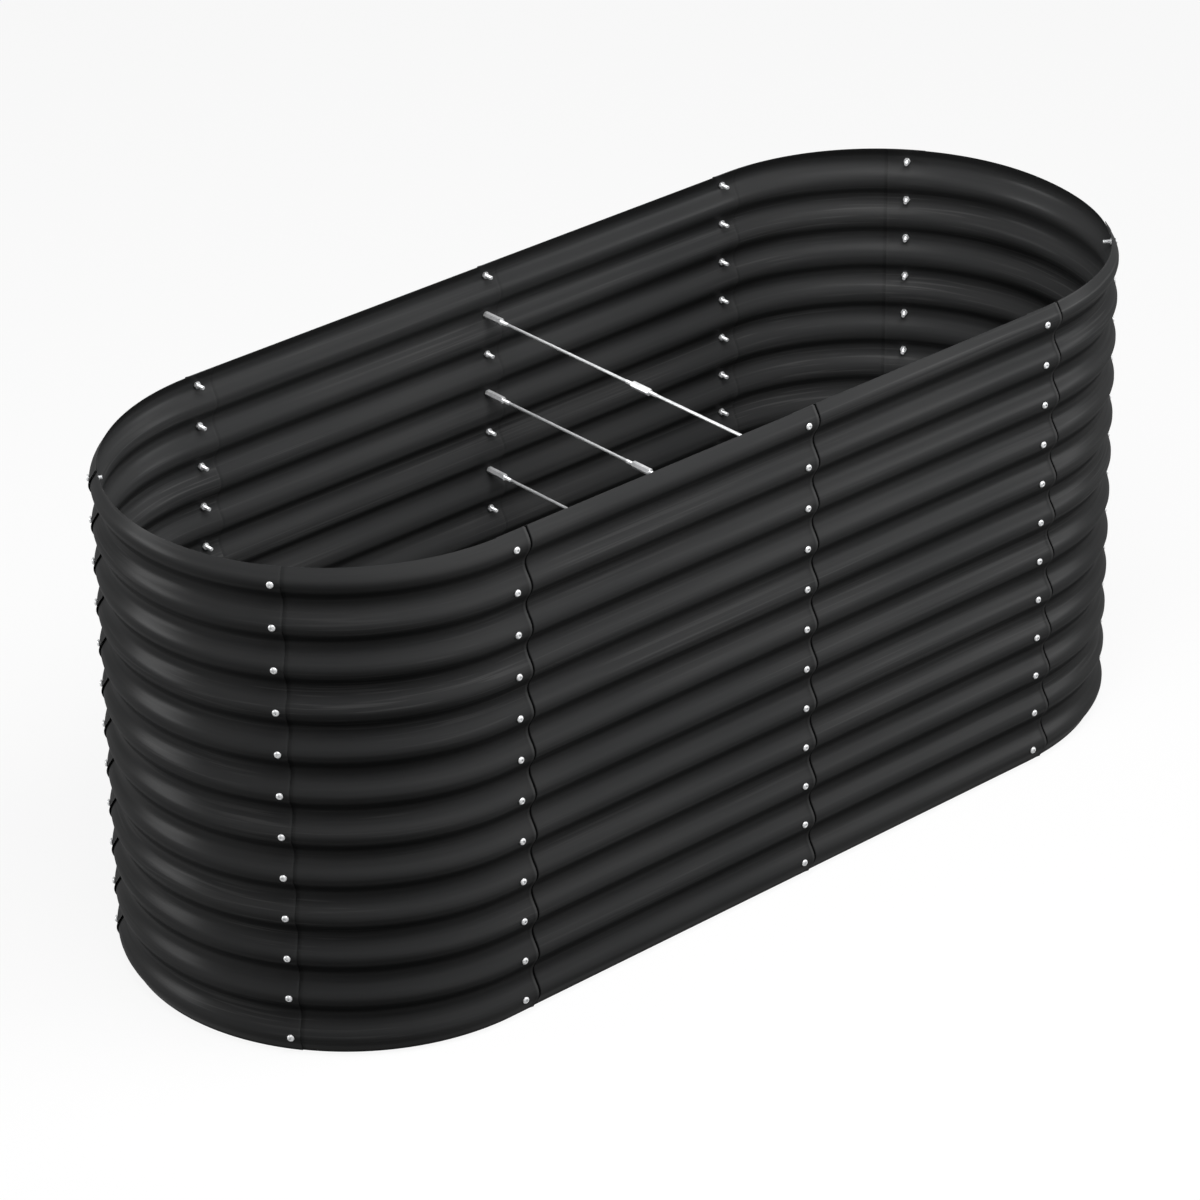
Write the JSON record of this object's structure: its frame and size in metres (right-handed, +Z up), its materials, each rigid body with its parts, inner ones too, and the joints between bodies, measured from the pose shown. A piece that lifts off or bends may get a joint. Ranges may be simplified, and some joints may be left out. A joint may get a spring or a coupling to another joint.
{
  "type": "raised garden bed",
  "caption": "Tall stadium-shaped raised garden bed of dark corrugated steel panels, lapped and bolted at the seams, open above and below, with tie rods across the middle.",
  "frame": {"origin": "centre of the bed's plan, on the ground it stands on", "axes": "+X along the length, +Y from the front to the back, +Z up"},
  "size_m": [1.8501, 0.7464, 0.812],
  "materials": {
    "painted_sheet": "satin charcoal powder coat",
    "zinc_hardware": "bright zinc"
  },
  "bodies": {
    "root": {"centre_coupling_row_2": "zinc_hardware", "centre_coupling_row_4": "zinc_hardware", "centre_coupling_row_6": "zinc_hardware", "curved_panel_left_back": "painted_sheet", "curved_panel_left_front": "painted_sheet", "curved_panel_left_middle": "painted_sheet", "curved_panel_right_back": "painted_sheet", "curved_panel_right_front": "painted_sheet", "curved_panel_right_middle": "painted_sheet", "seam_bolt_back_left": "zinc_hardware", "seam_bolt_back_middle": "zinc_hardware", "seam_bolt_back_right": "zinc_hardware", "seam_bolt_front_left": "zinc_hardware", "seam_bolt_front_middle": "zinc_hardware", "seam_bolt_front_right": "zinc_hardware", "seam_bolt_left_end_back": "zinc_hardware", "seam_bolt_left_end_front": "zinc_hardware", "seam_bolt_right_end_back": "zinc_hardware", "seam_bolt_right_end_front": "zinc_hardware", "seam_nut_back_left": "zinc_hardware", "seam_nut_back_middle": "zinc_hardware", "seam_nut_back_right": "zinc_hardware", "seam_nut_front_left": "zinc_hardware", "seam_nut_front_middle": "zinc_hardware", "seam_nut_front_right": "zinc_hardware", "seam_nut_left_end_back": "zinc_hardware", "seam_nut_left_end_front": "zinc_hardware", "seam_nut_right_end_back": "zinc_hardware", "seam_nut_right_end_front": "zinc_hardware", "straight_panel_back_left": "painted_sheet", "straight_panel_back_right": "painted_sheet", "straight_panel_front_left": "painted_sheet", "straight_panel_front_right": "painted_sheet", "tie_bolt_back_middle_row_2": "zinc_hardware", "tie_bolt_back_middle_row_4": "zinc_hardware", "tie_bolt_back_middle_row_6": "zinc_hardware", "tie_bolt_front_middle_row_2": "zinc_hardware", "tie_bolt_front_middle_row_4": "zinc_hardware", "tie_bolt_front_middle_row_6": "zinc_hardware", "tie_rod_back_row_2": "zinc_hardware", "tie_rod_back_row_4": "zinc_hardware", "tie_rod_back_row_6": "zinc_hardware", "tie_rod_front_row_2": "zinc_hardware", "tie_rod_front_row_4": "zinc_hardware", "tie_rod_front_row_6": "zinc_hardware", "wall_coupling_back_row_2": "zinc_hardware", "wall_coupling_back_row_4": "zinc_hardware", "wall_coupling_back_row_6": "zinc_hardware", "wall_coupling_front_row_2": "zinc_hardware", "wall_coupling_front_row_4": "zinc_hardware", "wall_coupling_front_row_6": "zinc_hardware"}
  },
  "joints": []
}
